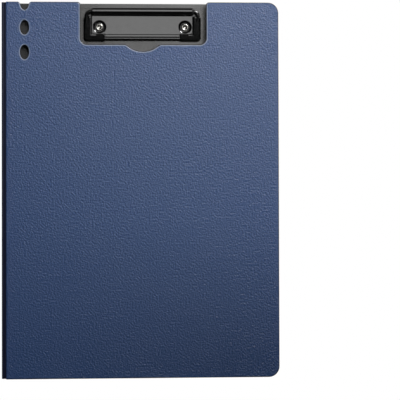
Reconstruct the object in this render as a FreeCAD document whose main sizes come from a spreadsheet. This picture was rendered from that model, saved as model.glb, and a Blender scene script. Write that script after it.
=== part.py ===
import FreeCAD, Part
import math
import os
import re

import Sketcher

# Folding clipboard for A4 paper: two stiff boards, a ribbed spine, and a wire clip in each half.
# X runs across the page with the spine at -X, Y runs up the page, Z is the thickness.
# The folder lies closed on its back skin, and the origin is the centre of its underside.

# Driving dimensions in millimetres
SIZES = {
    # Closed folder
    "folder_width": 233.0,
    "folder_height": 316.0,
    "liner_gap": 13.8,
    "cover_setback": 3.7,
    "free_corner_radius": 9.0,
    # Layers of each board
    "skin_thickness": 0.5,
    "core_thickness": 1.5,
    "liner_thickness": 0.5,
    "skin_margin": 0.6,
    "border_line_inset": 4.0,
    "border_line_width": 1.4,
    "border_line_depth": 0.25,
    # Hinges and spine
    "tongue_thickness": 0.9,
    "bead_clearance": 0.1,
    "flange_width": 9.0,
    "crease_ridge_width": 0.6,
    "crease_ridge_rise": 0.5,
    "spine_thickness": 1.8,
    "spine_setback": 2.3,
    "spine_end_setback": 0.5,
    "rib_width": 2.2,
    "rib_spacing": 5.4,
    "rib_height": 0.35,
    # Window in the front cover
    "window_side_gap": 3.25,
    "window_front_gap": 3.55,
    "window_offset": 0.4,
    "window_corner_radius": 5.5,
    "window_mouth_radius": 2.5,
    "scallop_width": 28.2,
    "scallop_depth": 5.8,
    "scallop_blend_radius": 5.0,
    # Pen holes and pen notch
    "pen_hole_width": 7.7,
    "pen_hole_length": 12.4,
    "pen_hole_pitch": 20.8,
    "pen_hole_setback": 15.4,
    "pen_row_drop": 0.7,
    "pen_notch_mouth_radius": 2.0,
    # Base plate of a clip
    "clip_edge_setback": 3.3,
    "barrel_length": 87.0,
    "barrel_radius": 3.55,
    "sheet_thickness": 0.8,
    "collar_wall": 0.94,
    "collar_length": 1.2,
    "collar_taper_length": 1.0,
    "seam_height": 0.35,
    "plate_side_clearance": 0.25,
    "plate_front_clearance": 0.25,
    "plate_tongue_reach": 0.85,
    "plate_flange_width": 1.35,
    "plate_tongue_clearance": 0.6,
    "plate_lift": 1.2,
    "plate_corner_radius": 2.0,
    "dish_clearance": 0.2,
    "dish_flare": 1.7,
    # Rivets and washers
    "rivet_side_setback": 6.1,
    "rivet_front_setback": 5.55,
    "rivet_head_radius": 3.5,
    "rivet_head_height": 0.8,
    "rivet_shank_radius": 2.0,
    "rivet_bore_radius": 1.45,
    "rivet_lead_in": 0.35,
    "clinch_radius": 3.0,
    "clinch_thickness": 0.35,
    "washer_radius": 4.3,
    "washer_thickness": 0.4,
    "washer_recess_clearance": 0.3,
    "rivet_hole_clearance": 0.1,
    # Wire lever
    "wire_diameter": 3.2,
    "shoulder_reach": 3.7,
    "lever_reach": 23.0,
    "wire_page_gap": 1.05,
    "shoulder_radius": 3.6,
    "corner_bend_radius": 4.0,
    "pin_length": 12.0,
    "pin_clearance": 0.06,
    # Corner pads on the lever
    "pad_side_wall": 2.45,
    "pad_front_wall": 2.2,
    "pad_leg_width": 6.95,
    "pad_foot_length": 17.85,
    "pad_foot_width": 6.3,
    "pad_barrel_gap": 0.55,
    "pad_cover_wall": 0.85,
    "pad_corner_radius": 3.0,
    "pad_end_radius": 2.0,
    "pad_edge_radius": 1.5,
    "pad_wire_clearance": 0.05,
    "pad_slot_width": 3.0,
    "pad_slot_length": 4.8,
    "pad_boss_length": 6.6,
    "pad_boss_width": 4.2,
    "pad_boss_end_setback": 0.9,
    "pad_boss_side_setback": 0.5,
    "pad_boss_rise": 0.1,
    "paper_allowance": 0.3,
}

# Values that follow from the driving dimensions
BOARD_THICKNESS = "(skin_thickness + core_thickness + liner_thickness)"
TOTAL_THICKNESS = f"(2 * {BOARD_THICKNESS} + liner_gap)"
SPINE_SIDE = "(-folder_width / 2)"
FREE_SIDE = "(folder_width / 2)"
CREASE_SIDE = f"({SPINE_SIDE} + cover_setback)"
PANEL_CENTRE = f"(({CREASE_SIDE} + {FREE_SIDE}) / 2)"
WINDOW_CENTRE = f"({PANEL_CENTRE} + window_offset)"
HALF_HEIGHT = "(folder_height / 2)"
BEAD_RADIUS = f"({BOARD_THICKNESS} / 2)"
SEAT_RADIUS = f"({BEAD_RADIUS} + bead_clearance)"
HINGE_X = f"({SPINE_SIDE} + {BEAD_RADIUS})"
BACK_HINGE_Z = BEAD_RADIUS
FRONT_HINGE_Z = f"({TOTAL_THICKNESS} - {BEAD_RADIUS})"
PEN_HOLE_X = f"({CREASE_SIDE} + pen_hole_setback)"
HALF_CHORD = "(scallop_width / 2)"
SCALLOP_RADIUS = f"(({HALF_CHORD} * {HALF_CHORD} + scallop_depth * scallop_depth) / (2 * scallop_depth))"
RIVET_HOLE_RADIUS = "(rivet_shank_radius + rivet_hole_clearance)"
CLINCH_DEPTH = "(washer_thickness + clinch_thickness)"
WASHER_RECESS_RADIUS = "(washer_radius + washer_recess_clearance)"

# A clip from the inside out: barrel, wire lever, pads, then the plate and rivets that fit between them
AXIS_HEIGHT = "(plate_lift + barrel_radius)"
CHAMBER_RADIUS = "(barrel_radius - sheet_thickness)"
WIRE_RADIUS = "(wire_diameter / 2)"
COLLAR_RADIUS = f"({WIRE_RADIUS} + pin_clearance + collar_wall)"
LEG_SPACING = "(barrel_length + 2 * shoulder_reach)"
LEVER_DROP = f"({AXIS_HEIGHT} - {WIRE_RADIUS} - wire_page_gap)"
LEVER_SLOPE = f"({LEVER_DROP} / lever_reach)"
PAD_SPAN = f"({LEG_SPACING} + 2 * pad_side_wall)"
PAD_REACH = "(lever_reach + pad_front_wall)"
PAD_LEG_START = "(barrel_radius + pad_barrel_gap)"
PAD_COVER_HEIGHT = f"({WIRE_RADIUS} + pad_wire_clearance + pad_cover_wall)"
PLATE_WIDTH = f"({PAD_SPAN} - 2 * pad_leg_width - 2 * plate_side_clearance)"
PLATE_REACH = f"({PAD_REACH} - pad_foot_width - plate_front_clearance)"
DISH_FLOOR_RADIUS = "(rivet_head_radius + dish_clearance)"
DISH_TOP_RADIUS = f"({DISH_FLOOR_RADIUS} + dish_flare)"
RIVET_SPACING = f"({PLATE_WIDTH} - 2 * rivet_side_setback)"
RIVET_REACH = f"({PLATE_REACH} - rivet_front_setback)"

# The window leaves the clip on the back board free
WINDOW_WIDTH = f"({PAD_SPAN} + 2 * window_side_gap)"
WINDOW_DEPTH = f"(clip_edge_setback + barrel_radius + {PAD_REACH} + window_front_gap)"

# Where each clip sits: the middle of its barrel axis, as places in the folder
PORTRAIT_X = PANEL_CENTRE
PORTRAIT_Y = f"({HALF_HEIGHT} - clip_edge_setback - barrel_radius)"
PORTRAIT_Z = f"({BOARD_THICKNESS} + {AXIS_HEIGHT})"
LANDSCAPE_X = f"({FREE_SIDE} - clip_edge_setback - barrel_radius)"
LANDSCAPE_Z = f"({TOTAL_THICKNESS} - {BOARD_THICKNESS} - {AXIS_HEIGHT})"

UPRIGHT = FreeCAD.Rotation()
# The sideways clip hangs under the front cover: its width lies along Y and its reach along -X.
SIDEWAYS = FreeCAD.Rotation(FreeCAD.Vector(1, 1, 0), 180)

doc = FreeCAD.newDocument("folding_clipboard")
sheet = doc.addObject("Spreadsheet::Sheet", "Sizes")
for row, (alias, value) in enumerate(SIZES.items(), start=1):
    sheet.set(f"A{row}", alias)
    sheet.set(f"B{row}", str(value))
    sheet.setAlias(f"B{row}", alias)
doc.recompute()

subparts = []

# Two places that are closer than this, in millimetres, count as one.
TOUCH = 1e-6


def linked(expression):
    """The expression with each size read from the sheet."""
    return re.sub(
        r"[a-z][a-z_]*",
        lambda word: f"Sizes.{word.group()}" if word.group() in SIZES else word.group(),
        expression,
    )


def number(expression):
    """The present value of an expression, in millimetres."""
    return float(sheet.evalExpression(linked(expression)))


def bind(item, **expressions):
    """Ties properties of an object to the sheet."""
    for name, expression in expressions.items():
        item.setExpression(name.replace("__", "."), linked(expression))


def move(item, x="0", y="0", z="0"):
    bind(item, Placement__Base__x=x, Placement__Base__y=y, Placement__Base__z=z)


def new_body(name, place=("0", "0", "0"), rotation=UPRIGHT):
    body = doc.addObject("PartDesign::Body", name)
    body.Label = name
    body.Placement = FreeCAD.Placement(FreeCAD.Vector(), rotation)
    move(body, *place)
    subparts.append(body)
    return body


# Sketches

def new_sketch(body, name, role="XY_Plane", height=None):
    sketch = body.newObject("Sketcher::SketchObject", name)
    plane = next(item for item in body.Origin.OriginFeatures if item.Role == role)
    sketch.AttachmentSupport = [(plane, "")]
    sketch.MapMode = "FlatFace"
    if height:
        bind(sketch, AttachmentOffset__Base__z=height)
    return sketch


def dimension(sketch, *constraint, size):
    index = sketch.addConstraint(Sketcher.Constraint(*constraint, number(size)))
    sketch.setExpression(f"Constraints[{index}]", linked(size))


def pin(sketch, geometry, point, x, y):
    """Fixes a point of a sketch at a place given from the sketch's origin."""
    dimension(sketch, "DistanceX", -1, 1, geometry, point, size=x)
    dimension(sketch, "DistanceY", -1, 1, geometry, point, size=y)


def at(x, y):
    return FreeCAD.Vector(number(x), number(y), 0)


def add_circle(sketch, x, y, radius):
    circle = sketch.addGeometry(Part.Circle(at(x, y), FreeCAD.Vector(0, 0, 1), number(radius)), False)
    pin(sketch, circle, 3, x, y)
    dimension(sketch, "Radius", circle, size=radius)


def add_ellipse(sketch, x, y, width, length):
    """A standing ellipse, with its length along the sketch's Y."""
    shape = Part.Ellipse(at(x, f"{y} + {length} / 2"), at(f"{x} + {width} / 2", y), at(x, y))
    ellipse = sketch.addGeometry(shape, False)
    sketch.exposeInternalGeometry(ellipse)
    major_axis, minor_axis = ellipse + 1, ellipse + 2
    pin(sketch, ellipse, 3, x, y)
    sketch.addConstraint(Sketcher.Constraint("Vertical", major_axis))
    dimension(sketch, "Distance", major_axis, size=length)
    dimension(sketch, "Distance", minor_axis, size=width)


def heading(start, end):
    """Direction of a run that lies along X or Y, as -1, 0 or 1 each way."""
    change = at(*end[:2]) - at(*start[:2])
    return [0 if abs(part) < TOUCH else int(part / abs(part)) for part in change[:2]]


def turn_at(before, corner, after):
    """Where a bend of the corner's radius starts and ends, its centre, and whether it turns left."""
    x, y, radius = corner
    come, leave = heading(before, corner), heading(corner, after)
    start = (f"{x} - ({come[0]}) * {radius}", f"{y} - ({come[1]}) * {radius}")
    end = (f"{x} + ({leave[0]}) * {radius}", f"{y} + ({leave[1]}) * {radius}")
    centre = (f"{start[0]} + ({leave[0]}) * {radius}", f"{start[1]} + ({leave[1]}) * {radius}")
    return start, end, centre, come[0] * leave[1] - come[1] * leave[0] > 0


def add_bend(sketch, start, end, centre, left):
    """A quarter arc, which a sketch keeps counter-clockwise. Gives the numbers of its two ends."""
    middle = at(*centre)
    low, high = (at(*start), at(*end)) if left else (at(*end), at(*start))
    angles = [math.atan2(point.y - middle.y, point.x - middle.x) for point in (low, high)]
    if angles[1] < angles[0]:
        angles[1] += 2 * math.pi
    circle = Part.Circle(middle, FreeCAD.Vector(0, 0, 1), (low - middle).Length)
    arc = sketch.addGeometry(Part.ArcOfCircle(circle, *angles), False)
    dimension(sketch, "DistanceX", -1, 1, arc, 3, size=centre[0])
    return (arc, 1, 2) if left else (arc, 2, 1)


def add_route(sketch, corners, closed=True):
    """Straight runs along X and Y through corners given as (x, y) or (x, y, bend radius)."""
    count = len(corners)
    chain = []
    leave = corners[0]
    if len(corners[0]) == 3:
        leave = turn_at(corners[-1], corners[0], corners[1])[1]
    for index in range(1, count + 1 if closed else count):
        corner = corners[index % count]
        bend = None
        finish = corner
        if len(corner) == 3:
            bend = turn_at(corners[index - 1], corner, corners[(index + 1) % count])
            finish = bend[0]
        line = sketch.addGeometry(Part.LineSegment(at(*leave[:2]), at(*finish[:2])), False)
        chain.append((line, 1, 2, leave[:2], finish[:2]))
        leave = finish
        if bend:
            chain.append((*add_bend(sketch, *bend), bend[0], bend[1]))
            leave = bend[1]
    for index, (geometry, _, last, _, finish) in enumerate(chain):
        pin(sketch, geometry, last, *finish)
        if closed or index + 1 < len(chain):
            following, first = chain[(index + 1) % len(chain)][:2]
            sketch.addConstraint(Sketcher.Constraint("Coincident", geometry, last, following, first))
    if not closed:
        pin(sketch, chain[0][0], chain[0][1], *chain[0][3])


def add_box(sketch, left, bottom, right, top):
    add_route(sketch, [(left, bottom), (right, bottom), (right, top), (left, top)])


# Features

def pad(body, sketch, length, both_ways=False):
    feature = body.newObject("PartDesign::Pad", f"{sketch.Name}_pad")
    feature.Profile = sketch
    feature.SideType = "Symmetric" if both_ways else "One side"
    bind(feature, Length=length)
    return feature


def pocket(body, sketch, depth, upward=True, both_ways=False):
    """Cuts a sketch's shape out, upward from the sketch unless said otherwise."""
    before = solid_volume(body)
    feature = body.newObject("PartDesign::Pocket", f"{sketch.Name}_pocket")
    feature.Profile = sketch
    feature.SideType = "Symmetric" if both_ways else "One side"
    feature.Reversed = upward
    bind(feature, Length=depth)
    check_cut(body, before, feature.Name)
    return feature


def solid_volume(body):
    doc.recompute()
    return body.Shape.Volume


def check_cut(body, before, name):
    if solid_volume(body) >= before:
        raise ValueError(f"{body.Label}: {name} removes nothing")


def bore(body, name, x, y, z, radius, height):
    """Cuts a round hole upward from z."""
    before = solid_volume(body)
    cylinder = body.newObject("PartDesign::SubtractiveCylinder", name)
    move(cylinder, x, y, z)
    bind(cylinder, Radius=radius, Height=height)
    check_cut(body, before, name)


def round_edges(body, name, radius, pick):
    """Rounds those edges of the body so far that pick finds in its shape."""
    doc.recompute()
    base = body.Tip
    fillet = body.newObject("PartDesign::Fillet", name)
    fillet.Base = (base, [f"Edge{index + 1}" for index in pick(base.Shape)])
    bind(fillet, Radius=radius)


def upright_edges_at(places):
    """Picks the edge along Z that stands nearest to each place."""
    spots = [at(x, y) for x, y in places]

    def foot(edge):
        start, end = (vertex.Point for vertex in edge.Vertexes)
        return FreeCAD.Vector(start.x, start.y, 0), abs(start.z - end.z) > edge.Length - TOUCH

    def pick(shape):
        feet = {}
        for index, edge in enumerate(shape.Edges):
            if len(edge.Vertexes) == 2 and foot(edge)[1]:
                feet[index] = foot(edge)[0]
        return [min(feet, key=lambda index: (feet[index] - spot).Length) for spot in spots]

    return pick


def turned(body, sketch, axis="V_Axis"):
    """A full turn of a sketch about its own upright or level axis."""
    feature = body.newObject("PartDesign::Revolution", f"{sketch.Name}_turned")
    feature.Profile = sketch
    feature.ReferenceAxis = (sketch, [axis])
    feature.Angle = 360
    return feature


# Boards

def board_outline(sketch, margin, windowed):
    """The board's edge, drawn in by a margin everywhere but at the crease."""
    right = f"{FREE_SIDE} - {margin}"
    top = f"{HALF_HEIGHT} - {margin}"
    corner = f"(free_corner_radius - {margin})"
    route = [(CREASE_SIDE, f"-({top})"), (right, f"-({top})", corner), (right, top, corner)]
    if windowed:
        half_window = f"({WINDOW_WIDTH} / 2 + {margin})"
        window_foot = f"{HALF_HEIGHT} - {WINDOW_DEPTH} - {margin}"
        mouth = f"(window_mouth_radius - {margin})"
        inner_corner = f"(window_corner_radius + {margin})"
        route += [
            (f"{WINDOW_CENTRE} + {half_window}", top, mouth),
            (f"{WINDOW_CENTRE} + {half_window}", window_foot, inner_corner),
            (f"{WINDOW_CENTRE} - {half_window}", window_foot, inner_corner),
            (f"{WINDOW_CENTRE} - {half_window}", top, mouth),
        ]
    add_route(sketch, route + [(CREASE_SIDE, top)])


def cut_scallop(body, margin, depth):
    """The finger scallop at the middle of the window's lower edge, with blended ends."""
    radius = f"({SCALLOP_RADIUS} + {margin})"
    window_foot = f"({HALF_HEIGHT} - {WINDOW_DEPTH})"
    centre_y = f"({window_foot} - scallop_depth + {SCALLOP_RADIUS})"
    sketch = new_sketch(body, f"{body.Name}_scallop")
    add_circle(sketch, PANEL_CENTRE, centre_y, radius)
    pocket(body, sketch, depth)
    drop = f"({centre_y} - {window_foot} + {margin})"
    half_chord = f"sqrt({radius} * {radius} - {drop} * {drop})"
    ends = [(f"{PANEL_CENTRE} {sign} {half_chord}", f"{window_foot} - {margin}") for sign in "+-"]
    round_edges(body, f"{body.Name}_scallop_blend", "scallop_blend_radius", upright_edges_at(ends))


def cut_pen_holes(body, margin, depth):
    """Two oval pen holes, and a third on the top edge that makes the pen notch."""
    sketch = new_sketch(body, f"{body.Name}_pen_holes")
    for place in range(3):
        add_ellipse(
            sketch,
            PEN_HOLE_X,
            f"({HALF_HEIGHT} - pen_row_drop - {place} * pen_hole_pitch)",
            "pen_hole_width",
            "pen_hole_length",
        )
    pocket(body, sketch, depth)
    mouth = [
        (f"{PEN_HOLE_X} {sign} pen_hole_width / 2", f"{HALF_HEIGHT} - {margin}") for sign in "+-"
    ]
    round_edges(body, f"{body.Name}_notch_mouth", "pen_notch_mouth_radius", upright_edges_at(mouth))


def board_layer(name, height, thickness, margin="0", windowed=False):
    body = new_body(name, ("0", "0", height))
    sketch = new_sketch(body, f"{name}_outline")
    board_outline(sketch, margin, windowed)
    pad(body, sketch, thickness)
    if windowed:
        cut_scallop(body, margin, thickness)
        cut_pen_holes(body, margin, thickness)
    return body


def press_border_line(body, height):
    """The welded line that runs round a liner, pressed into the face that is seen."""
    sketch = new_sketch(body, f"{body.Name}_border_line", height=height)
    for inset in ("border_line_inset", "(border_line_inset + border_line_width)"):
        left = f"{CREASE_SIDE} + {inset}"
        right = f"{FREE_SIDE} - {inset}"
        top = f"{HALF_HEIGHT} - {inset}"
        bend = f"(free_corner_radius - {inset})"
        add_route(
            sketch,
            [(left, f"-({top})"), (right, f"-({top})", bend), (right, top, bend), (left, top)],
        )
    pocket(body, sketch, "border_line_depth")


def rivet_places(side):
    """The two rivet centres of a clip, from the clip's own middle, put on the board."""
    for sign in "-+":
        across = f"({sign}{RIVET_SPACING} / 2)"
        if side == "back":
            yield f"({PORTRAIT_X} + {across})", f"({PORTRAIT_Y} - {RIVET_REACH})"
        else:
            yield f"({LANDSCAPE_X} - {RIVET_REACH})", across


def drill_for_rivets(body, side, depth, recess_from=None):
    for count, (x, y) in enumerate(rivet_places(side), start=1):
        bore(body, f"{body.Name}_hole_{count}", x, y, "0", RIVET_HOLE_RADIUS, depth)
        if recess_from:
            name = f"{body.Name}_recess_{count}"
            bore(body, name, x, y, recess_from, WASHER_RECESS_RADIUS, CLINCH_DEPTH)


def hinge_flange(name, hinge_height):
    """The strip welded between skin and liner, with a ridged tongue that ends round the crease bead."""
    body = new_body(name, (HINGE_X, "0", hinge_height))
    edge = f"(cover_setback - {BEAD_RADIUS})"
    strip = new_sketch(body, f"{name}_strip", "XZ_Plane")
    add_box(strip, edge, "-core_thickness / 2", f"{edge} + flange_width", "core_thickness / 2")
    pad(body, strip, "folder_height", both_ways=True)
    tongue = new_sketch(body, f"{name}_tongue", "XZ_Plane")
    add_box(tongue, f"{BEAD_RADIUS} / 2", "-tongue_thickness / 2", edge, "tongue_thickness / 2")
    pad(body, tongue, "folder_height - 2 * spine_end_setback", both_ways=True)
    ridge = new_sketch(body, f"{name}_ridge", "XZ_Plane")
    ridge_half = "(tongue_thickness / 2 + crease_ridge_rise)"
    add_box(ridge, BEAD_RADIUS, f"-{ridge_half}", f"{SEAT_RADIUS} + crease_ridge_width", ridge_half)
    pad(body, ridge, "folder_height - 2 * spine_end_setback", both_ways=True)
    seat = new_sketch(body, f"{name}_seat", "XZ_Plane")
    add_circle(seat, "0", "0", SEAT_RADIUS)
    pocket(body, seat, "2 * folder_height", both_ways=True)
    return body


def core_board(name, height, side):
    """The stiff board. It starts where the hinge flange ends, and hides the rivets' clinched ends."""
    windowed = side == "front"
    body = board_layer(name, height, "core_thickness", windowed=windowed)
    sketch = new_sketch(body, f"{name}_flange_room")
    add_box(
        sketch,
        f"{CREASE_SIDE} - flange_width",
        "-folder_height",
        f"{CREASE_SIDE} + flange_width",
        "folder_height",
    )
    pocket(body, sketch, "core_thickness")
    outer_face = "0" if side == "back" else f"(core_thickness - {CLINCH_DEPTH})"
    drill_for_rivets(body, side, "core_thickness", outer_face)
    return body


def back_board():
    board_layer("back_outer_skin", "0", "skin_thickness", "skin_margin")
    core_board("back_core_board", "skin_thickness", "back")
    liner = board_layer("back_liner", "skin_thickness + core_thickness", "liner_thickness")
    press_border_line(liner, "liner_thickness - border_line_depth")
    drill_for_rivets(liner, "back", "liner_thickness")
    hinge_flange("back_hinge_flange", BACK_HINGE_Z)


def front_cover():
    liner_height = f"{TOTAL_THICKNESS} - {BOARD_THICKNESS}"
    liner = board_layer("front_liner", liner_height, "liner_thickness", windowed=True)
    press_border_line(liner, "0")
    drill_for_rivets(liner, "front", "liner_thickness")
    core_board("front_core_board", f"{liner_height} + liner_thickness", "front")
    board_layer(
        "front_outer_skin", f"{TOTAL_THICKNESS} - skin_thickness", "skin_thickness", "skin_margin", True
    )
    hinge_flange("front_hinge_flange", FRONT_HINGE_Z)


def spine_profile():
    """A ribbed strip whose two long edges end in round beads, one in each board's hinge seat."""
    body = new_body("spine_profile", (HINGE_X, "0", BACK_HINGE_Z))
    reach = f"({FRONT_HINGE_Z} - {BACK_HINGE_Z})"
    length = "folder_height - 2 * spine_end_setback"
    strip = new_sketch(body, "spine_strip", "XZ_Plane")
    add_box(
        strip, "-spine_thickness / 2", "spine_setback", "spine_thickness / 2", f"{reach} - spine_setback"
    )
    pad(body, strip, length, both_ways=True)
    necks = new_sketch(body, "spine_necks", "XZ_Plane")
    add_box(necks, "-tongue_thickness / 2", "0", "tongue_thickness / 2", reach)
    pad(body, necks, length, both_ways=True)
    beads = new_sketch(body, "spine_beads", "XZ_Plane")
    add_circle(beads, "0", "0", BEAD_RADIUS)
    add_circle(beads, "0", reach, BEAD_RADIUS)
    pad(body, beads, length, both_ways=True)
    half_depth = "(spine_thickness / 2 + rib_height)"
    ribs = new_sketch(body, "spine_ribs", "XZ_Plane")
    for sign in "-+":
        middle = f"({reach} / 2 {sign} rib_spacing / 2)"
        add_box(
            ribs, f"-{half_depth}", f"{middle} - rib_width / 2", half_depth, f"{middle} + rib_width / 2"
        )
    pad(body, ribs, length, both_ways=True)


# Clips, each drawn about the middle of its barrel: X along the barrel, -Y towards the page

def barrel_profile(sketch):
    """One half of the rolled barrel's wall, with its end crimped round the wire."""
    end = "barrel_length / 2"
    crimp = f"{end} - collar_length"
    taper = f"{crimp} - collar_taper_length"
    wall = [
        (f"-({end})", COLLAR_RADIUS),
        (f"-({crimp})", "barrel_radius"),
        (crimp, "barrel_radius"),
        (end, COLLAR_RADIUS),
        (end, f"{WIRE_RADIUS} + pin_clearance"),
        (crimp, f"{WIRE_RADIUS} + pin_clearance"),
        (taper, CHAMBER_RADIUS),
        (f"-({taper})", CHAMBER_RADIUS),
        (f"-({crimp})", f"{WIRE_RADIUS} + pin_clearance"),
        (f"-({end})", f"{WIRE_RADIUS} + pin_clearance"),
    ]
    add_route(sketch, wall)


def dish(body, name, x):
    """A round seat pressed down to the board, so that the rivet head lies below the plate."""
    y = f"-{RIVET_REACH}"
    floor = f"(sheet_thickness - {AXIS_HEIGHT})"
    slope = "(dish_flare / plate_lift)"
    wall = f"(sheet_thickness * sqrt(1 + {slope} * {slope}) - sheet_thickness * {slope})"
    outside = body.newObject("PartDesign::AdditiveCone", f"{name}_outside")
    move(outside, x, y, f"-{AXIS_HEIGHT}")
    bind(
        outside,
        Radius1=f"{DISH_FLOOR_RADIUS} + {wall}",
        Radius2=f"{DISH_TOP_RADIUS} + {wall}",
        Height="plate_lift",
    )
    before = solid_volume(body)
    inside = body.newObject("PartDesign::SubtractiveCone", f"{name}_inside")
    move(inside, x, y, floor)
    bind(inside, Radius1=DISH_FLOOR_RADIUS, Radius2=DISH_TOP_RADIUS, Height="plate_lift")
    check_cut(body, before, inside.Name)
    bore(body, f"{name}_hole", x, y, f"-{AXIS_HEIGHT}", RIVET_HOLE_RADIUS, "sheet_thickness")


def base_plate(name, place, rotation):
    """Barrel and plate from one sheet. Between the pads' feet the plate steps down to a narrow flange."""
    body = new_body(name, place, rotation)
    plate = new_sketch(body, f"{name}_plate", height="-barrel_radius")
    add_box(plate, f"-{PLATE_WIDTH} / 2", f"-{PLATE_REACH}", f"{PLATE_WIDTH} / 2", "0")
    pad(body, plate, "sheet_thickness")
    corners = [(f"{sign}{PLATE_WIDTH} / 2", f"-{PLATE_REACH}") for sign in "-+"]
    round_edges(body, f"{name}_corners", "plate_corner_radius", upright_edges_at(corners))
    half_tongue = f"({PAD_SPAN} / 2 - pad_foot_length - plate_tongue_clearance)"
    front = f"({PLATE_REACH} + plate_tongue_reach)"
    tongue = new_sketch(body, f"{name}_tongue", height="-barrel_radius")
    add_box(tongue, f"-{half_tongue}", f"-{front}", half_tongue, f"-{PLATE_REACH}")
    pad(body, tongue, "sheet_thickness")
    lip = new_sketch(body, f"{name}_lip", height=f"-{AXIS_HEIGHT}")
    add_box(lip, f"-{half_tongue}", f"-{front}", half_tongue, f"sheet_thickness - {front}")
    pad(body, lip, "plate_lift + sheet_thickness")
    flange = new_sketch(body, f"{name}_flange", height=f"-{AXIS_HEIGHT}")
    add_box(flange, f"-{half_tongue}", f"-{front} - plate_flange_width", half_tongue, f"-{front}")
    pad(body, flange, "sheet_thickness")
    wall = new_sketch(body, f"{name}_barrel", "XZ_Plane")
    barrel_profile(wall)
    turned(body, wall, "H_Axis")
    for sign, side in (("-", "low"), ("+", "high")):
        dish(body, f"{name}_{side}_dish", f"{sign}{RIVET_SPACING} / 2")
    seam = new_sketch(body, f"{name}_seam", height=f"-{CHAMBER_RADIUS}")
    half_seam = "(barrel_length / 2 - collar_length - collar_taper_length)"
    add_box(seam, f"-{half_seam}", "-barrel_radius", half_seam, "-sheet_thickness")
    pocket(body, seam, "seam_height")


def tubular_rivet(name, place, rotation):
    """A hollow rivet: domed head in the dish, shank through the board, end rolled over the washer."""
    body = new_body(name, place, rotation)
    seat = f"(sheet_thickness - {AXIS_HEIGHT})"
    tail = f"(-{AXIS_HEIGHT} - liner_thickness - core_thickness)"
    sketch = new_sketch(body, f"{name}_profile", "XZ_Plane")
    outline = [
        ("rivet_bore_radius", tail),
        ("clinch_radius", tail),
        ("clinch_radius", f"{tail} + clinch_thickness"),
        ("rivet_shank_radius", f"{tail} + clinch_thickness"),
        ("rivet_shank_radius", seat),
        ("rivet_head_radius", seat),
        ("rivet_head_radius", f"{seat} + rivet_head_height - rivet_lead_in"),
        ("rivet_head_radius - rivet_lead_in", f"{seat} + rivet_head_height"),
        ("rivet_bore_radius + rivet_lead_in", f"{seat} + rivet_head_height"),
        ("rivet_bore_radius", f"{seat} + rivet_head_height - rivet_lead_in"),
    ]
    add_route(sketch, outline)
    turned(body, sketch)


def rivet_washer(name, place, rotation):
    body = new_body(name, place, rotation)
    tail = f"(-{AXIS_HEIGHT} - liner_thickness - core_thickness)"
    sketch = new_sketch(body, f"{name}_ring", height=f"{tail} + clinch_thickness")
    add_circle(sketch, "0", "0", "washer_radius")
    add_circle(sketch, "0", "0", RIVET_HOLE_RADIUS)
    pad(body, sketch, "washer_thickness")


def wire_route(body, name):
    """The lever's bent centre line, which droops from the barrel to the page."""
    route = new_sketch(body, name)
    droop = math.degrees(math.asin(number(LEVER_SLOPE)))
    route.AttachmentOffset = FreeCAD.Placement(
        FreeCAD.Vector(), FreeCAD.Rotation(FreeCAD.Vector(1, 0, 0), droop)
    )
    bind(route, AttachmentOffset__Rotation__Angle=f"asin({LEVER_SLOPE})")
    pin_end = "(barrel_length / 2 - pin_length)"
    leg = f"({LEG_SPACING} / 2)"
    corners = [
        (f"-{pin_end}", "0"),
        (f"-{leg}", "0", "shoulder_radius"),
        (f"-{leg}", "-lever_reach", "corner_bend_radius"),
        (leg, "-lever_reach", "corner_bend_radius"),
        (leg, "0", "shoulder_radius"),
        (pin_end, "0"),
    ]
    add_route(route, corners, closed=False)
    return route


def wire_section(body, name, radius):
    section = new_sketch(body, name, "YZ_Plane", height="pin_length - barrel_length / 2")
    add_circle(section, "0", "0", radius)
    return section


def wire_lever(name, place, rotation):
    body = new_body(name, place, rotation)
    route = wire_route(body, f"{name}_route")
    section = wire_section(body, f"{name}_section", WIRE_RADIUS)
    wire = body.newObject("PartDesign::AdditivePipe", f"{name}_wire")
    wire.Profile = section
    wire.Spine = route


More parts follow.
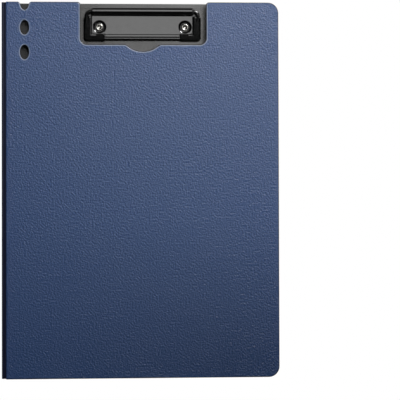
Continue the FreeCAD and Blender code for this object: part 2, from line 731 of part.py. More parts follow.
def corner_pad(name, place, rotation, sign):
    """An L-shaped sleeve round one corner of the wire, open above the wire next to the barrel."""
    body = new_body(name, place, rotation)
    outer = f"{sign}{PAD_SPAN} / 2"
    inner = f"{sign}({PAD_SPAN} / 2 - pad_leg_width)"
    foot_end = f"{sign}({PAD_SPAN} / 2 - pad_foot_length)"
    far = f"-{PAD_REACH}"
    near = f"(pad_foot_width - {PAD_REACH})"
    underside = f"(paper_allowance - {AXIS_HEIGHT})"
    block = new_sketch(body, f"{name}_block", height=underside)
    add_route(
        block,
        [
            (outer, f"-{PAD_LEG_START}", "pad_end_radius"),
            (outer, far, "pad_corner_radius"),
            (foot_end, far),
            (foot_end, near),
            (inner, near),
            (inner, f"-{PAD_LEG_START}"),
        ],
    )
    pad(body, block, f"{AXIS_HEIGHT} - paper_allowance + {PAD_COVER_HEIGHT}")
    top = new_sketch(body, f"{name}_top", "YZ_Plane")
    lowest = f"({PAD_COVER_HEIGHT} - {PAD_REACH} * {LEVER_SLOPE})"
    add_route(top, [("0", PAD_COVER_HEIGHT), (far, PAD_COVER_HEIGHT), (far, lowest)])
    pocket(body, top, PAD_SPAN, both_ways=True)

    def top_edges(shape):
        rise = number(PAD_COVER_HEIGHT)
        slope = number(LEVER_SLOPE)
        for index, edge in enumerate(shape.Edges):
            places = [vertex.Point for vertex in edge.Vertexes]
            if all(abs(place.z - rise - slope * place.y) < TOUCH for place in places):
                yield index

    round_edges(body, f"{name}_top_edges", "pad_edge_radius", top_edges)
    boss_side = f"({PAD_REACH} - pad_foot_width + pad_boss_side_setback)"
    boss_middle = f"({PAD_SPAN} / 2 - pad_foot_length + pad_boss_end_setback + pad_boss_length / 2)"
    boss = new_sketch(body, f"{name}_boss", "YZ_Plane", height=f"{sign}{boss_middle} - pad_boss_length / 2")
    boss_front = f"({boss_side} + pad_boss_width)"
    boss_top = f"({PAD_COVER_HEIGHT} + pad_boss_rise)"
    add_route(
        boss,
        [
            (f"-{boss_side}", f"-{LEVER_DROP}"),
            (f"-{boss_side}", f"{boss_top} - {boss_side} * {LEVER_SLOPE}"),
            (f"-{boss_front}", f"{boss_top} - {boss_front} * {LEVER_SLOPE}"),
            (f"-{boss_front}", f"-{LEVER_DROP}"),
        ],
    )
    pad(body, boss, "pad_boss_length")
    slot_end = f"({PAD_LEG_START} + pad_slot_length)"
    slot = new_sketch(body, f"{name}_slot", height=f"-{slot_end} * {LEVER_SLOPE}")
    leg = f"{sign}{LEG_SPACING} / 2"
    add_box(slot, f"{leg} - pad_slot_width / 2", f"-{slot_end}", f"{leg} + pad_slot_width / 2", "0")
    pocket(body, slot, f"{PAD_COVER_HEIGHT} + wire_diameter")
    channel = body.newObject("PartDesign::SubtractivePipe", f"{name}_channel")
    channel.Profile = wire_section(body, f"{name}_section", f"{WIRE_RADIUS} + pad_wire_clearance")
    channel.Spine = wire_route(body, f"{name}_route")


def clip(prefix, sides, place, rotation, rivet_spots):
    base_plate(f"{prefix}_base_plate", place, rotation)
    wire_lever(f"{prefix}_wire_lever", place, rotation)
    for sign, side, spot in zip(("-", ""), sides, rivet_spots):
        corner_pad(f"{prefix}_{side}_corner_pad", place, rotation, sign)
        tubular_rivet(f"{prefix}_{side}_rivet", (*spot, place[2]), rotation)
        rivet_washer(f"{prefix}_{side}_washer", (*spot, place[2]), rotation)


back_board()
spine_profile()
front_cover()
clip("portrait", ("left", "right"), (PORTRAIT_X, PORTRAIT_Y, PORTRAIT_Z), UPRIGHT, rivet_places("back"))
clip("landscape", ("lower", "upper"), (LANDSCAPE_X, "0", LANDSCAPE_Z), SIDEWAYS, rivet_places("front"))
doc.recompute()

for item in doc.Objects:
    if "Invalid" in item.State or "Error" in item.State:
        raise ValueError(f"{item.Label} did not compute")
for subpart in subparts:
    if subpart.Shape.isNull() or not subpart.Shape.isValid() or not subpart.Shape.Solids:
        raise ValueError(f"{subpart.Label} has no valid solid")

os.makedirs("parts", exist_ok=True)
for subpart in subparts:
    subpart.Shape.exportStep(f"parts/{subpart.Label}.step")
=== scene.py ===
"""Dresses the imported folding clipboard: embossed skins, liners, ribbed spine, two wire clips and a studio.

Run as a script, it builds every piece round the fixed frame. All places are in the frame's metres.
"""

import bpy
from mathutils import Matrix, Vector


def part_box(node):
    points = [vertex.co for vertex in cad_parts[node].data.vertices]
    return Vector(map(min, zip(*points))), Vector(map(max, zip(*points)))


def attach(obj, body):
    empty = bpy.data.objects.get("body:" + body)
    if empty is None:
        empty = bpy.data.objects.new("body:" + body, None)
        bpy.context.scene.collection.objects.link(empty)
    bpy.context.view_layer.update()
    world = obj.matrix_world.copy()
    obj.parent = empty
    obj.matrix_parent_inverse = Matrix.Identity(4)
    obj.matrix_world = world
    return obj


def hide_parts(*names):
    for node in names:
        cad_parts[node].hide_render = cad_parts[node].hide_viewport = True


bl_info = {
    "name": "Folding Clipboard Looks",
    "version": (1, 0, 0),
    "blender": (4, 5, 0),
    "location": "3D View > Sidebar > Clipboard",
    "description": "Dresses a folding clipboard with embossed skins, liners, wire clips and a studio",
    "category": "Object",
}

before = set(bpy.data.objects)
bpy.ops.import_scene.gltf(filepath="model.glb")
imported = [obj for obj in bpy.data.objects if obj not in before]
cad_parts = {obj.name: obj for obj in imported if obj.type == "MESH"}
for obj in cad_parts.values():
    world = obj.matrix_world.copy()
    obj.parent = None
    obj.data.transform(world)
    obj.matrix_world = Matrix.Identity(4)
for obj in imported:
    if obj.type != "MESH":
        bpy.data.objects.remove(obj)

import math

import bmesh
import bpy
from bpy.props import FloatProperty, FloatVectorProperty, PointerProperty
from bpy.types import Operator, Panel, PropertyGroup
from mathutils import Matrix, Vector

MM = 0.001
PHOTO_SIDE = 400

# Distances within which points are the same, lie in one plane, or lie on one curve's chord
WELD = 0.002 * MM
TOUCH = 0.02 * MM
CHORD = 0.1 * MM

# Angles between faces: still flat, edge of a pressed dish, cut edge, corner of a moulding, shading's limit
FLAT = math.radians(1)
DISHED = math.radians(20)
CUT = math.radians(28)
MOULDED = math.radians(50)
SHADED = math.radians(38)

# The middle of a noise's values, between which nearly all of them lie, and the paper grain of the floor
NOISE_MIDDLE = (0.35, 0.65)
PAPER_GRAIN = 2 * MM

# Share of a dish's radius in front of its rivet where the rim ends beside the pad's foot
DISH_OPENING = 0.85

WIRE_SIDES = 24
SHOULDER_STEPS = 10
CORNER_STEPS = 12
RIVET_SIDES = 48

# A rivet's half section, out from its axis and up from the seat: rolled head, tube and clinched end
RIVET_OUTLINE_MM = (
    (0.0, -0.6), (0.5, -0.59), (0.95, -0.55), (1.2, -0.42), (1.4, -0.1), (1.45, 0.25), (1.54, 0.45),
    (1.75, 0.65), (2.05, 0.76), (2.3, 0.8), (2.6, 0.74), (2.9, 0.58), (3.22, 0.32), (3.5, 0.0),
    (2.0, 0.0), (2.0, -2.45), (3.0, -2.45), (3.0, -2.8), (0.0, -2.8),
)

# The studio, in metres: each lamp's place, the point that it faces, and its width and height
SOFTBOX = ((0.232, 0.5375, 0.883), (0.232, 0.5375, 0), (0.584, 0.813))
GLINT_STRIP = ((0.755, 1.07, 0.62), (0, 0.14, 0), (0.45, 0.6))
FLAG_CENTRE = (1.021, -0.965, 0.328)
FLAG_HALF_SIDE = 1
FLOOR_CENTRE = (0, 0, -0.05 * MM)
FLOOR_HALF_SIDE = 12


# Settings

def linear(hex_colour):
    """The linear colour of an sRGB hex value, with full alpha."""
    parts = [int(hex_colour[place:place + 2], 16) / 255 for place in (1, 3, 5)]
    return (*[p / 12.92 if p <= 0.04045 else ((p + 0.055) / 1.055) ** 2.4 for p in parts], 1.0)


def length_property(name, description, millimetres):
    return FloatProperty(
        name=name, description=description, default=millimetres * MM, unit="LENGTH", precision=5
    )


def angle_property(name, description, degrees):
    return FloatProperty(
        name=name, description=description, default=math.radians(degrees), subtype="ANGLE"
    )


def number_property(name, description, number):
    return FloatProperty(name=name, description=description, default=number)


def colour_property(name, description, hex_colour):
    return FloatVectorProperty(
        name=name,
        description=description,
        default=linear(hex_colour),
        subtype="COLOR",
        size=4,
        min=0,
        max=1,
    )


class ClipboardBoardSettings(PropertyGroup):
    """Edges and colours of the boards, liners and spine"""
    skin_rim: length_property("Skin rim", "Rounding of the skin round the window and the pen holes", 0.42)
    # Width of the band painted in the paler rim colour, as a highlight line round the window and holes.
    rim_highlight_band: length_property("Rim band", "Whole width of the ironed rim", 0.85)
    sheared_edge: length_property("Sheared edge", "Rounding of an edge cut by the outline die", 0.12)
    grain_size: length_property("Skin grain", "Spacing of the sand grain embossed in the skin", 1.45)
    grain_depth: length_property("Grain depth", "Height of the sand grain on the skin", 0.6)
    free_corner: length_property("Free corner", "Radius of the skin's corners away from the spine", 8.4)
    liner_grain_size: length_property("Liner grain", "Spacing of the fine grain in the liner", 0.7)
    skin_colour: colour_property("Skin", "Navy blue of the embossed skin", "#42629a")
    # The grain's tips take a lighter blue: partly the film's own mottling, partly painted sheen on the tips.
    skin_tip_tone_and_sheen: colour_property("Skin light", "Blue on the tips of the grain", "#4c6ca4")
    # Paler blue painted on the rim band and rounding round the window and holes: a painted highlight line.
    rim_highlight_colour: colour_property("Rim", "Paler blue where the rim is pressed", "#9eb0d4")
    liner_colour: colour_property("Liner", "Black of the liner", "#121314")
    core_colour: colour_property("Core", "Black of the board's cut edge", "#0b0c10")
    spine_colour: colour_property("Spine", "Blue-black of the extruded spine", "#0c1a40")


class ClipboardClipSettings(PropertyGroup):
    """Shape and colours of the two clips"""
    barrel_radius: length_property("Barrel radius", "Outside radius of the rolled barrel", 3.55)
    barrel_length: length_property("Barrel length", "Length of the rolled barrel", 87.0)
    sheet_thickness: length_property("Sheet", "Thickness of the base plate's steel", 0.8)
    wire_diameter: length_property("Wire", "Diameter of the lever's wire", 3.2)
    leg_spacing: length_property("Legs", "Distance between the lever's legs", 94.4)
    lever_reach: length_property("Reach", "From the barrel's axis to the lever's front run", 23.0)
    lever_drop: length_property("Drop", "How far the front run lies below the axis", 2.1)
    shoulder_radius: length_property("Shoulder", "Bend beside the barrel", 3.6)
    corner_radius: length_property("Corner", "Bend at the lever's front corners", 4.0)
    pin_length: length_property("Pin", "Length of wire inside the barrel's end", 12.0)
    rivet_spacing: length_property("Rivets", "Distance between the rivets", 72.7)
    rivet_reach: length_property("Rivet reach", "From the barrel's axis to the rivets", 13.1)
    rivet_seat: length_property("Rivet seat", "Height of the rivets' seats from the barrel's axis", -3.95)
    pressed_edge: length_property("Pressed edge", "Rounding of a pressed or moulded edge", 0.3)
    dish_radius: length_property("Dish", "Radius of the rim of a rivet's dish", 5.4)
    dish_edge: length_property("Dish edge", "Rounding of the rim of a rivet's dish", 0.6)
    lip_edge: length_property("Lip edge", "Rounding of the plate's front lip", 0.45)
    lacquer_colour: colour_property("Lacquer", "Black of the coated steel", "#0a0a0b")
    pad_colour: colour_property("Pads", "Black of the soft corner pads", "#08090a")
    rivet_colour: colour_property("Rivet", "Nickel plating of the rivets", "#94928e")
    washer_colour: colour_property("Washer", "Zinc plating of the hidden washers", "#b4b8bc")


class ClipboardStageSettings(PropertyGroup):
    """Camera, lamps and floor"""
    camera_side: length_property("Camera side", "Camera's place across the page", -60.0)
    camera_height: length_property("Camera height", "Camera's height above the floor", 1618.8)
    look_right: angle_property("Turn right", "Camera's turn from straight down", 4.012)
    look_up: angle_property("Turn up", "Camera's turn towards the page's top", 1.123)
    roll: angle_property("Roll", "Camera's turn about its own line", -0.162)
    focal_pixels: number_property("Focal length", "In pixels of the photograph", 1904.2)
    centre_x: number_property("Centre across", "Pixel that the camera's line meets", 202.6)
    centre_y: number_property("Centre down", "Pixel that the camera's line meets", 152.4)
    softbox_radiance: number_property("Softbox", "Brightness of the overhead softbox", 4.2)
    glint_radiance: number_property("Glint", "Brightness of the strip that only gloss shows", 52.0)
    fill: number_property("Fill", "Brightness of the room", 0.03)
    floor_colour: colour_property("Floor", "White of the studio floor", "#f4f4f4")


# Materials

def add(tree, kind, inputs=None, **settings):
    """Adds a node with its settings, and sets or links its inputs."""
    node = tree.nodes.new(kind)
    for name, value in settings.items():
        setattr(node, name, value)
    for socket, value in (inputs or {}).items():
        if isinstance(value, bpy.types.NodeSocket):
            tree.links.new(value, node.inputs[socket])
        else:
            node.inputs[socket].default_value = value
    return node


def start_material(name):
    """An empty material: its node tree, and the place on the object in metres."""
    material = bpy.data.materials.new(name)
    material.use_nodes = True
    material.node_tree.nodes.clear()
    place = add(material.node_tree, "ShaderNodeTexCoord").outputs["Object"]
    return material, material.node_tree, place


def darker(colour, share):
    return (*[part * share for part in colour[:3]], 1.0)


def grained_finish(
    name, tones, roughness, grain, depth, shader, detail=2.0, wear=None, stretch=(1, 1, 1), span=(0, 1)
):
    """A material with one grain, which gives its relief, its two tones and its change of gloss.

    The grain's spacing and depth, and the wear's spacing, are real lengths. Tones and roughness run from
    hollow to tip. Wear is a wider pattern that changes the gloss instead of the grain. Span gives the
    grain's heights at which the tones are pure, and stretch draws the grain out or packs it along an axis.
    """
    material, tree, place = start_material(name)
    place = add(tree, "ShaderNodeMapping", {"Vector": place, "Scale": stretch}).outputs["Vector"]
    pattern = {"Vector": place, "Scale": 1 / grain, "Detail": detail}
    height = add(tree, "ShaderNodeTexNoise", pattern).outputs["Fac"]
    rubs = height
    if wear:
        rubs = add(tree, "ShaderNodeTexNoise", {"Vector": place, "Scale": 1 / wear}).outputs["Fac"]
    colour = add(tree, "ShaderNodeValToRGB", {"Fac": height})
    for stop, tone, level in zip(colour.color_ramp.elements, tones, span):
        stop.color, stop.position = tone, level
    gloss = {
        "Value": rubs,
        "From Min": NOISE_MIDDLE[0],
        "From Max": NOISE_MIDDLE[1],
        "To Min": roughness[0],
        "To Max": roughness[1],
    }
    inputs = {
        "Base Color": colour.outputs["Color"],
        "Roughness": add(tree, "ShaderNodeMapRange", gloss).outputs["Result"],
        "Normal": add(tree, "ShaderNodeBump", {"Height": height, "Distance": depth}).outputs["Normal"],
    }
    surface = add(tree, "ShaderNodeBsdfPrincipled", {**inputs, **shader})
    add(tree, "ShaderNodeOutputMaterial", {"Surface": surface.outputs["BSDF"]})
    return material


def embossed_polypropylene(look):
    """Polypropylene film with a calendered sand grain, which breaks its gloss into specks.

    The real grain is finer than a pixel of the photograph, so it is drawn as coarse as it shows there.
    """
    return grained_finish(
        "embossed_polypropylene_film",
        # Lighter blue on the grain's tips: partly the film's own mottling, partly painted sheen.
        tones=(look.skin_colour, look.skin_tip_tone_and_sheen),
        span=NOISE_MIDDLE,
        roughness=(0.14, 0.16),
        grain=look.grain_size,
        detail=3.0,
        depth=look.grain_depth,
        wear=13 * MM,
        shader={"IOR": 1.52},
    )


def painted_rim_highlight(look):
    """The same film round the window and the holes, painted paler as a highlight line along its rounded
    edge, with the grain flattened.
    """
    return grained_finish(
        "polypropylene_rim_painted_highlight",
        tones=(darker(look.rim_highlight_colour, 0.8), look.rim_highlight_colour),
        roughness=(0.30, 0.38),
        grain=3 * look.grain_size,
        detail=3.0,
        depth=0.0286 * MM,
        shader={"IOR": 1.49},
    )


def blasted_liner(look):
    """Polypropylene sheet with a fine blasted grain: black, with an even silky gloss."""
    return grained_finish(
        "blasted_polypropylene_liner",
        tones=(darker(look.liner_colour, 0.8), look.liner_colour),
        roughness=(0.24, 0.28),
        grain=look.liner_grain_size,
        depth=0.0176 * MM,
        wear=21 * MM,
        shader={"IOR": 1.59},
    )


def die_cut_core(look):
    """Foamed polypropylene board, seen only at its sheared edge: dull black with faint cut lines."""
    return grained_finish(
        "die_cut_foamed_polypropylene",
        tones=(darker(look.core_colour, 0.6), look.core_colour),
        roughness=(0.5, 0.65),
        grain=look.liner_grain_size,
        detail=3.0,
        depth=0.0316 * MM,
        stretch=(1, 1, 6),
        shader={"IOR": 1.49},
    )


def extruded_plastic(look):
    """Extruded hinge profile: dull blue-black with fine draw lines along its length."""
    return grained_finish(
        "extruded_polypropylene",
        tones=(darker(look.spine_colour, 0.7), look.spine_colour),
        roughness=(0.45, 0.55),
        grain=look.liner_grain_size,
        detail=3.0,
        depth=0.0316 * MM,
        stretch=(1, 0.01, 1),
        shader={"IOR": 1.49, "Specular IOR Level": 0.2},
    )


def lacquered_steel(clip):
    """Rolled steel under dipped black lacquer: deep gloss with a slight orange peel."""
    return grained_finish(
        "dipped_lacquer_on_steel",
        tones=(darker(clip.lacquer_colour, 0.8), clip.lacquer_colour),
        roughness=(0.10, 0.14),
        grain=3.2 * MM,
        depth=0.0053 * MM,
        shader={"IOR": 1.5},
    )


def lacquered_wire(clip):
    """Drawn spring wire under the same lacquer, with a finer peel that softens its highlight."""
    return grained_finish(
        "dipped_lacquer_on_wire",
        tones=(darker(clip.lacquer_colour, 0.7), clip.lacquer_colour),
        roughness=(0.17, 0.23),
        grain=1.6 * MM,
        depth=0.0036 * MM,
        shader={"IOR": 1.5},
    )


def soft_vinyl(clip):
    """Moulded soft vinyl on the lever's corners: black and glossy, under a faint bloom."""
    return grained_finish(
        "moulded_soft_vinyl",
        tones=(darker(clip.pad_colour, 0.7), clip.pad_colour),
        roughness=(0.12, 0.17),
        grain=0.8 * MM,
        detail=4.0,
        depth=0.0128 * MM,
        shader={"IOR": 1.52},
    )


def nickel_plate(clip):
    """Nickel-plated rivet: bright metal, faintly clouded where the forming die has rubbed it."""
    return grained_finish(
        "nickel_plated_rivet",
        tones=(darker(clip.rivet_colour, 0.75), clip.rivet_colour),
        roughness=(0.14, 0.24),
        grain=0.4 * MM,
        detail=3.0,
        depth=0.004 * MM,
        shader={"Metallic": 1.0},
    )


def zinc_plate(clip):
    """Zinc-plated washer: pale grey metal with a dull crystalline bloom."""
    return grained_finish(
        "zinc_plated_washer",
        tones=(darker(clip.washer_colour, 0.6), clip.washer_colour),
        roughness=(0.3, 0.45),
        grain=1.07 * MM,
        detail=4.0,
        depth=0.008 * MM,
        shader={"Metallic": 1.0},
    )


# Pieces

def merged_copy(node):
    """A copy of a CAD node's mesh, with its corners joined and its flat faces whole."""
    shape = bmesh.new()
    shape.from_mesh(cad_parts[node].data)
    bmesh.ops.remove_doubles(shape, verts=shape.verts, dist=WELD)
    bmesh.ops.dissolve_limit(
        shape, angle_limit=FLAT, verts=shape.verts, edges=shape.edges, delimit={"NORMAL"}
    )
    return shape


def sharp_edges(shape, angle=CUT):
    return [edge for edge in shape.edges if len(edge.link_faces) == 2 and edge.calc_face_angle() > angle]


def round_edges(shape, edges, radius, segments=3, clamp=True):
    return bmesh.ops.bevel(
        shape,
        geom=edges,
        offset=radius,
        offset_type="OFFSET",
        affect="EDGES",
        segments=segments,
        profile=0.5,
        material=-1,
        clamp_overlap=clamp,
        loop_slide=True,
    )["faces"]


def make_piece(shape, name, materials, slot, body, *nodes):
    """Turns a mesh in the making into a smooth piece that rides on a body in place of its CAD nodes."""
    bmesh.ops.recalc_face_normals(shape, faces=shape.faces)
    mesh = bpy.data.meshes.new(name)
    shape.to_mesh(mesh)
    shape.free()
    mesh.shade_smooth()
    mesh.set_sharp_from_angle(angle=SHADED)
    for material in materials:
        mesh.materials.append(material)
    piece = bpy.data.objects.new(name, mesh)
    bpy.context.scene.collection.objects.link(piece)
    piece.modifiers.new("flat_faces_stay_flat", "WEIGHTED_NORMAL").keep_sharp = True
    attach(piece, body)
    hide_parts(*nodes)


def on_outline(edge, low, high, corner):
    """True on the board's outer edge and crease, and false round the window and the holes."""
    middle = (edge.verts[0].co + edge.verts[1].co) / 2
    x, y = middle.x, abs(middle.y)
    if x < low.x + CHORD:
        return True
    if x > high.x - corner and y > high.y - corner:
        return math.hypot(x - high.x + corner, y - high.y + corner) > corner - CHORD
    return x > high.x - CHORD or y > high.y - CHORD


def skin_with_painted_rim(look, side, outward):
    """A skin that is rounded at the crease and round its window and holes, where the band and the rounding
    take the paler rim material as a painted highlight line.
    """
    node = f"{side}_outer_skin"
    low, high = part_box(node)
    shape = merged_copy(node)
    level = high.z if outward > 0 else low.z

    def on_face(item):
        return all(abs(vertex.co.z - level) < TOUCH for vertex in item.verts)

    def at_crease(item):
        return all(vertex.co.x < low.x + CHORD for vertex in item.verts)

    face = [part for part in shape.faces if on_face(part)]
    bmesh.ops.inset_region(
        shape, faces=face, thickness=look.rim_highlight_band, use_boundary=True, use_even_offset=True
    )
    face_edges = [edge for edge in sharp_edges(shape) if on_face(edge)]
    cuts = [edge for edge in face_edges if not on_outline(edge, low, high, look.free_corner)]
    # The band, the cut wall and the rounding round the window and holes take the paler rim material: a
    # painted highlight line.
    for edge in cuts:
        for part in edge.link_faces:
            part.material_index = 1
    for part in round_edges(shape, cuts, look.skin_rim, 4):
        part.material_index = 1
    crease = [edge for edge in sharp_edges(shape) if on_face(edge) and at_crease(edge)]
    round_edges(shape, crease, look.skin_rim, 4)
    return shape


class CLIPBOARD_OT_boards(Operator):
    """Adds the embossed skins, the liners and the sheared core boards"""
    bl_idname = "clipboard.boards"
    bl_label = "Add Boards"

    def execute(self, context):
        look = context.scene.clipboard_boards
        # The rim material paints a paler highlight line round the window and the holes.
        film, rim = embossed_polypropylene(look), painted_rim_highlight(look)
        liner, core = blasted_liner(look), die_cut_core(look)
        for side, body, outward in (("back", "back_board", -1), ("front", "front_cover", 1)):
            shape = skin_with_painted_rim(look, side, outward)
            skin = f"{side}_outer_skin"
            make_piece(shape, f"{side}_skin", [film, rim], "embossed_blue_skin", body, skin)
            for part, material, slot in (
                ("liner", liner, "black_liner"),
                ("core_board", core, "core_board"),
            ):
                node = f"{side}_{part}"
                shape = merged_copy(node)
                round_edges(shape, sharp_edges(shape), look.sheared_edge, 2)
                make_piece(shape, f"{node}_piece", [material], slot, body, node)
        return {"FINISHED"}


class CLIPBOARD_OT_spine(Operator):
    """Adds the ribbed spine and the hinge flanges with their crease ridge"""
    bl_idname = "clipboard.spine"
    bl_label = "Add Spine"

    def execute(self, context):
        look = context.scene.clipboard_boards
        plastic = extruded_plastic(look)
        for node, body in (
            ("spine_profile", "spine"),
            ("back_hinge_flange", "back_board"),
            ("front_hinge_flange", "front_cover"),
        ):
            shape = merged_copy(node)
            round_edges(shape, sharp_edges(shape, MOULDED), look.sheared_edge, 2)
            make_piece(shape, f"{node}_piece", [plastic], "hinge_plastic", body, node)
        return {"FINISHED"}


def clip_places():
    """Each clip's name, its plate's body, its sides, and the matrix from its own axes to the frame's."""
    low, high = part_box("portrait_base_plate")
    radius = bpy.context.scene.clipboard_clips.barrel_radius
    upright = Matrix.Translation(((low.x + high.x) / 2, high.y - radius, high.z - radius))
    low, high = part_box("landscape_base_plate")
    hanging = Matrix.Translation((high.x - radius, (low.y + high.y) / 2, low.z + radius))
    hanging @= Matrix.Rotation(math.pi, 4, Vector((1, 1, 0)))
    return (
        ("portrait", "back_board", ("left", "right"), upright),
        ("landscape", "front_cover", ("lower", "upper"), hanging),
    )


def on_dish_rim(edge, clip, place):
    """True where a rivet's dish leaves the plate's upper face, but for the end beside the pad's foot."""
    level = clip.sheet_thickness - clip.barrel_radius
    for vertex in edge.verts:
        spot = place.inverted() @ vertex.co
        away = math.hypot(abs(spot.x) - clip.rivet_spacing / 2, spot.y + clip.rivet_reach)
        beside_foot = spot.y < -clip.rivet_reach - clip.dish_radius * DISH_OPENING
        if beside_foot or abs(spot.z - level) > TOUCH or abs(away - clip.dish_radius) > TOUCH:
            return False
    return True


def on_front_lip(edge, clip, place):
    """True on the long front edge of the plate's upper face, between the pads' feet."""
    level = clip.sheet_thickness - clip.barrel_radius
    dish_front = -clip.rivet_reach - clip.dish_radius
    ends = [place.inverted() @ vertex.co for vertex in edge.verts]
    if any(end.y >= dish_front or abs(end.z - level) >= TOUCH for end in ends):
        return False
    return abs(ends[0].y - ends[1].y) < TOUCH and edge.calc_length() > clip.rivet_spacing / 2


class CLIPBOARD_OT_base_plates(Operator):
    """Adds the lacquered base plates with their rolled barrels and pressed rivet seats"""
    bl_idname = "clipboard.base_plates"
    bl_label = "Add Base Plates"

    def execute(self, context):
        clip = context.scene.clipboard_clips
        steel = lacquered_steel(clip)
        for prefix, body, _, place in clip_places():
            node = f"{prefix}_base_plate"
            shape = merged_copy(node)
            rims = [edge for edge in sharp_edges(shape, DISHED) if on_dish_rim(edge, clip, place)]
            round_edges(shape, rims, clip.dish_edge, 5, clamp=False)
            lip = [edge for edge in sharp_edges(shape) if on_front_lip(edge, clip, place)]
            round_edges(shape, lip, clip.lip_edge, 5)
            round_edges(shape, sharp_edges(shape), clip.pressed_edge, 3)
            make_piece(shape, f"{prefix}_plate", [steel], "black_steel_plate", body, node)
        return {"FINISHED"}


def extrude_ring(shape, ring, step):
    """Draws a ring of wire on by one straight step."""
    made = bmesh.ops.extrude_edge_only(shape, edges=ring)["geom"]
    bmesh.ops.translate(shape, verts=[v for v in made if isinstance(v, bmesh.types.BMVert)], vec=step)
    return [edge for edge in made if isinstance(edge, bmesh.types.BMEdge)]


def bend_ring(shape, ring, centre, steps):
    """Bends a ring of wire on by a quarter turn to the left."""
    made = bmesh.ops.spin(
        shape, geom=ring, cent=centre, axis=(0, 0, 1), angle=math.pi / 2, steps=steps, use_merge=False
    )["geom_last"]
    return [edge for edge in made if isinstance(edge, bmesh.types.BMEdge)]


def bent_wire(clip):
    """The lever's wire, drawn and bent from one pin round to the other, in the clip's own axes."""
    shape = bmesh.new()
    half_span = clip.leg_spacing / 2
    pin_end = clip.barrel_length / 2 - clip.pin_length
    shoulder, corner = clip.shoulder_radius, clip.corner_radius
    bmesh.ops.create_circle(
        shape,
        segments=WIRE_SIDES,
        radius=clip.wire_diameter / 2,
        cap_ends=True,
        matrix=Matrix.Translation((-pin_end, 0, 0)) @ Matrix.Rotation(math.pi / 2, 4, "Y"),
    )
    ring = list(shape.edges)
    ring = extrude_ring(shape, ring, (pin_end - half_span + shoulder, 0, 0))
    ring = bend_ring(shape, ring, (shoulder - half_span, -shoulder, 0), SHOULDER_STEPS)
    ring = extrude_ring(shape, ring, (0, shoulder + corner - clip.lever_reach, 0))
    ring = bend_ring(shape, ring, (corner - half_span, corner - clip.lever_reach, 0), CORNER_STEPS)
    ring = extrude_ring(shape, ring, (2 * (half_span - corner), 0, 0))
    ring = bend_ring(shape, ring, (half_span - corner, corner - clip.lever_reach, 0), CORNER_STEPS)
    ring = extrude_ring(shape, ring, (0, clip.lever_reach - shoulder - corner, 0))
    ring = bend_ring(shape, ring, (half_span - shoulder, -shoulder, 0), SHOULDER_STEPS)
    ring = extrude_ring(shape, ring, (pin_end - half_span + shoulder, 0, 0))
    bmesh.ops.contextual_create(shape, geom=ring)
    droop = Matrix.Rotation(math.asin(clip.lever_drop / clip.lever_reach), 4, "X")
    bmesh.ops.transform(shape, matrix=droop, verts=shape.verts)
    return shape


class CLIPBOARD_OT_wire_levers(Operator):
    """Adds the bent wire levers"""
    bl_idname = "clipboard.wire_levers"
    bl_label = "Add Wire Levers"

    def execute(self, context):
        clip = context.scene.clipboard_clips
        wire = lacquered_wire(clip)
        for prefix, _, _, place in clip_places():
            shape = bent_wire(clip)
            bmesh.ops.transform(shape, matrix=place, verts=shape.verts)
            node = f"{prefix}_wire_lever"
            make_piece(shape, f"{prefix}_wire", [wire], "black_steel_wire", f"{prefix}_lever", node)
        return {"FINISHED"}


class CLIPBOARD_OT_corner_pads(Operator):
    """Adds the soft corner pads on the levers"""
    bl_idname = "clipboard.corner_pads"
    bl_label = "Add Corner Pads"

    def execute(self, context):
        clip = context.scene.clipboard_clips
        vinyl = soft_vinyl(clip)
        for prefix, _, sides, _ in clip_places():
            for side in sides:
                node = f"{prefix}_{side}_corner_pad"
                shape = merged_copy(node)
                round_edges(shape, sharp_edges(shape, MOULDED), clip.pressed_edge, 2)
                make_piece(shape, f"{node}_piece", [vinyl], "pad_plastic", f"{prefix}_lever", node)
        return {"FINISHED"}


def turned_rivet(seat):
    """A semi-tubular rivet about the Z axis, its rolled head sitting at a height."""
    shape = bmesh.new()
    points = [shape.verts.new((radius * MM, 0, seat + height * MM)) for radius, height in RIVET_OUTLINE_MM]
    line = [shape.edges.new(pair) for pair in zip(points, points[1:])]
    bmesh.ops.spin(
        shape,
        geom=points + line,
        cent=(0, 0, 0),
        axis=(0, 0, 1),
        angle=math.tau,
        steps=RIVET_SIDES,
        use_merge=True,
    )
    bmesh.ops.remove_doubles(shape, verts=shape.verts, dist=WELD)
    return shape


class CLIPBOARD_OT_rivets(Operator):
    """Adds the nickel rivets, and plates the hidden washers"""
    bl_idname = "clipboard.rivets"
    bl_label = "Add Rivets"

    def execute(self, context):
        clip = context.scene.clipboard_clips
        nickel, zinc = nickel_plate(clip), zinc_plate(clip)
        for prefix, body, sides, place in clip_places():
            for side, sign in zip(sides, (-1, 1)):
                shape = turned_rivet(clip.rivet_seat)
                spot = Matrix.Translation((sign * clip.rivet_spacing / 2, -clip.rivet_reach, 0))
                bmesh.ops.transform(shape, matrix=place @ spot, verts=shape.verts)
                node = f"{prefix}_{side}_rivet"
                make_piece(shape, f"{node}_piece", [nickel], "bright_rivet", body, node)
                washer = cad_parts[f"{prefix}_{side}_washer"]
                washer.data.materials.clear()
                washer.data.materials.append(zinc)
        return {"FINISHED"}


# Stage

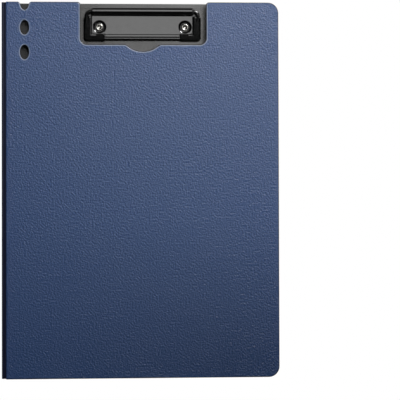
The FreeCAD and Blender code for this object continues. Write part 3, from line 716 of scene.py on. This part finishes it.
def white_floor(stage):
    """Seamless studio floor: pure white to the eye and in gloss, and lit paper to all other light."""
    material, tree, place = start_material("seamless_white_floor")
    paper = add(tree, "ShaderNodeTexNoise", {"Vector": place, "Scale": 1 / PAPER_GRAIN})
    tone = add(tree, "ShaderNodeValToRGB", {"Fac": paper.outputs["Fac"]})
    tone.color_ramp.elements[0].color = darker(stage.floor_colour, 0.985)
    tone.color_ramp.elements[1].color = stage.floor_colour
    lit = add(tree, "ShaderNodeBsdfDiffuse", {"Color": tone.outputs["Color"]})
    glow = add(tree, "ShaderNodeEmission", {"Color": (1, 1, 1, 1), "Strength": 1.0})
    rays = add(tree, "ShaderNodeLightPath")
    seen = rays.outputs["Is Camera Ray"]
    for kind in ("Is Glossy Ray", "Is Transmission Ray"):
        seen = add(tree, "ShaderNodeMath", {0: seen, 1: rays.outputs[kind]}, operation="MAXIMUM").outputs[0]
    mix = add(tree, "ShaderNodeMixShader", {0: seen, 1: lit.outputs["BSDF"], 2: glow.outputs["Emission"]})
    add(tree, "ShaderNodeOutputMaterial", {"Surface": mix.outputs["Shader"]})
    return material


def add_lamp(name, radiance, place, target, size):
    """A rectangular lamp that faces a point, as bright as the radiance given."""
    light = bpy.data.lights.new(name, "AREA")
    light.shape = "RECTANGLE"
    light.size, light.size_y = size
    light.energy = radiance * math.pi * size[0] * size[1]
    lamp = bpy.data.objects.new(name, light)
    bpy.context.scene.collection.objects.link(lamp)
    lamp.location = place
    lamp.rotation_euler = (Vector(target) - Vector(place)).to_track_quat("-Z", "Y").to_euler()
    return lamp


def add_level_sheet(name, half_side, centre):
    """A square level sheet that belongs to the stage."""
    shape = bmesh.new()
    bmesh.ops.create_grid(shape, x_segments=1, y_segments=1, size=half_side)
    bmesh.ops.translate(shape, verts=shape.verts, vec=centre)
    mesh = bpy.data.meshes.new(name)
    shape.to_mesh(mesh)
    shape.free()
    sheet = bpy.data.objects.new(name, mesh)
    bpy.context.scene.collection.objects.link(sheet)
    return sheet


def add_camera(stage):
    """The photograph's camera, nearly straight above the page."""
    camera = bpy.data.cameras.new("photo_camera")
    camera.lens = stage.focal_pixels / PHOTO_SIDE * camera.sensor_width
    camera.shift_x = (PHOTO_SIDE / 2 - stage.centre_x) / PHOTO_SIDE
    camera.shift_y = (stage.centre_y - PHOTO_SIDE / 2) / PHOTO_SIDE
    eye = bpy.data.objects.new("photo_camera", camera)
    bpy.context.scene.collection.objects.link(eye)
    bpy.context.scene.camera = eye
    forward = Vector((math.sin(stage.look_right), math.sin(stage.look_up), -1)).normalized()
    right = forward.cross(Vector((0, 1, 0))).normalized()
    up = right.cross(forward)
    right, up = (
        right * math.cos(stage.roll) + up * math.sin(stage.roll),
        up * math.cos(stage.roll) - right * math.sin(stage.roll),
    )
    turn = Matrix((right, up, -forward)).transposed().to_4x4()
    eye.matrix_world = Matrix.Translation((stage.camera_side, 0, stage.camera_height)) @ turn


class CLIPBOARD_OT_stage(Operator):
    """Adds the camera, the lamps, the black flag, the room's fill and the white floor"""
    bl_idname = "clipboard.stage"
    bl_label = "Add Stage"

    def execute(self, context):
        scene = context.scene
        stage = scene.clipboard_stage
        add_camera(stage)
        add_lamp("overhead_softbox", stage.softbox_radiance, *SOFTBOX)

        # The strip shows only in gloss, where it gives the bright crescents of the rivets' dishes.
        glint = add_lamp("glint_strip", stage.glint_radiance, *GLINT_STRIP)
        glint.visible_diffuse = False

        # The flag is seen by no ray. It only shades the softbox from the foot of the page.
        flag = add_level_sheet("black_flag", FLAG_HALF_SIDE, FLAG_CENTRE)
        flag.visible_camera = flag.visible_glossy = flag.visible_diffuse = False

        floor = add_level_sheet("studio_floor", FLOOR_HALF_SIDE, FLOOR_CENTRE)
        floor.data.materials.append(white_floor(stage))

        scene.world = bpy.data.worlds.new("studio_room")
        scene.world.use_nodes = True
        tree = scene.world.node_tree
        tree.nodes.clear()
        room = add(tree, "ShaderNodeBackground", {"Color": (1, 1, 1, 1), "Strength": stage.fill})
        add(tree, "ShaderNodeOutputWorld", {"Surface": room.outputs["Background"]})
        scene.view_settings.view_transform = "Standard"
        return {"FINISHED"}


OPERATORS = (
    CLIPBOARD_OT_boards,
    CLIPBOARD_OT_spine,
    CLIPBOARD_OT_base_plates,
    CLIPBOARD_OT_wire_levers,
    CLIPBOARD_OT_corner_pads,
    CLIPBOARD_OT_rivets,
    CLIPBOARD_OT_stage,
)
SETTINGS = {
    "clipboard_boards": ClipboardBoardSettings,
    "clipboard_clips": ClipboardClipSettings,
    "clipboard_stage": ClipboardStageSettings,
}


class CLIPBOARD_PT_sidebar(Panel):
    """Lists the clipboard's settings and the operators that build it"""
    bl_label = "Folding Clipboard"
    bl_idname = "CLIPBOARD_PT_sidebar"
    bl_space_type = "VIEW_3D"
    bl_region_type = "UI"
    bl_category = "Clipboard"

    def draw(self, context):
        for group, settings in SETTINGS.items():
            box = self.layout.box()
            for name in settings.__annotations__:
                box.prop(getattr(context.scene, group), name)
        for operator in OPERATORS:
            self.layout.operator(operator.bl_idname)


def register():
    for item in (*SETTINGS.values(), *OPERATORS, CLIPBOARD_PT_sidebar):
        bpy.utils.register_class(item)
    for group, settings in SETTINGS.items():
        setattr(bpy.types.Scene, group, PointerProperty(type=settings))


def unregister():
    for group in SETTINGS:
        delattr(bpy.types.Scene, group)
    for item in reversed((*SETTINGS.values(), *OPERATORS, CLIPBOARD_PT_sidebar)):
        bpy.utils.unregister_class(item)


def main():
    register()
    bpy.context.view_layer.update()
    for operator in OPERATORS:
        group, name = operator.bl_idname.split(".")
        getattr(getattr(bpy.ops, group), name)()


if __name__ == "__main__":
    main()
